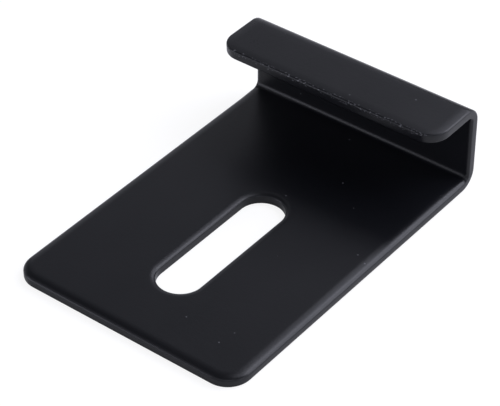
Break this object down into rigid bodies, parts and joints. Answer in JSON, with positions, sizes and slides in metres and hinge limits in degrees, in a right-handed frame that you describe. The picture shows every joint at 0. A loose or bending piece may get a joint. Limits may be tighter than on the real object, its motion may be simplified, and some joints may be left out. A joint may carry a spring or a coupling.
{
  "type": "headphone hook",
  "caption": "Folded sheet-steel hook: a flat plate with a long screw slot and rounded corners turns up into a short web and forward into a lip that holds a headband.",
  "frame": {"origin": "centre of the screw slot, on the plate's mounting face", "axes": "+Z is the outward normal of the plate, from the mounting face toward the lip; +Y runs along the slot toward the web; +X runs across the strip"},
  "size_m": [0.05, 0.0734, 0.0184],
  "materials": {
    "powder_coat": "satin black powder coat"
  },
  "bodies": {
    "root": {"folded_hook": "powder_coat"}
  },
  "joints": []
}
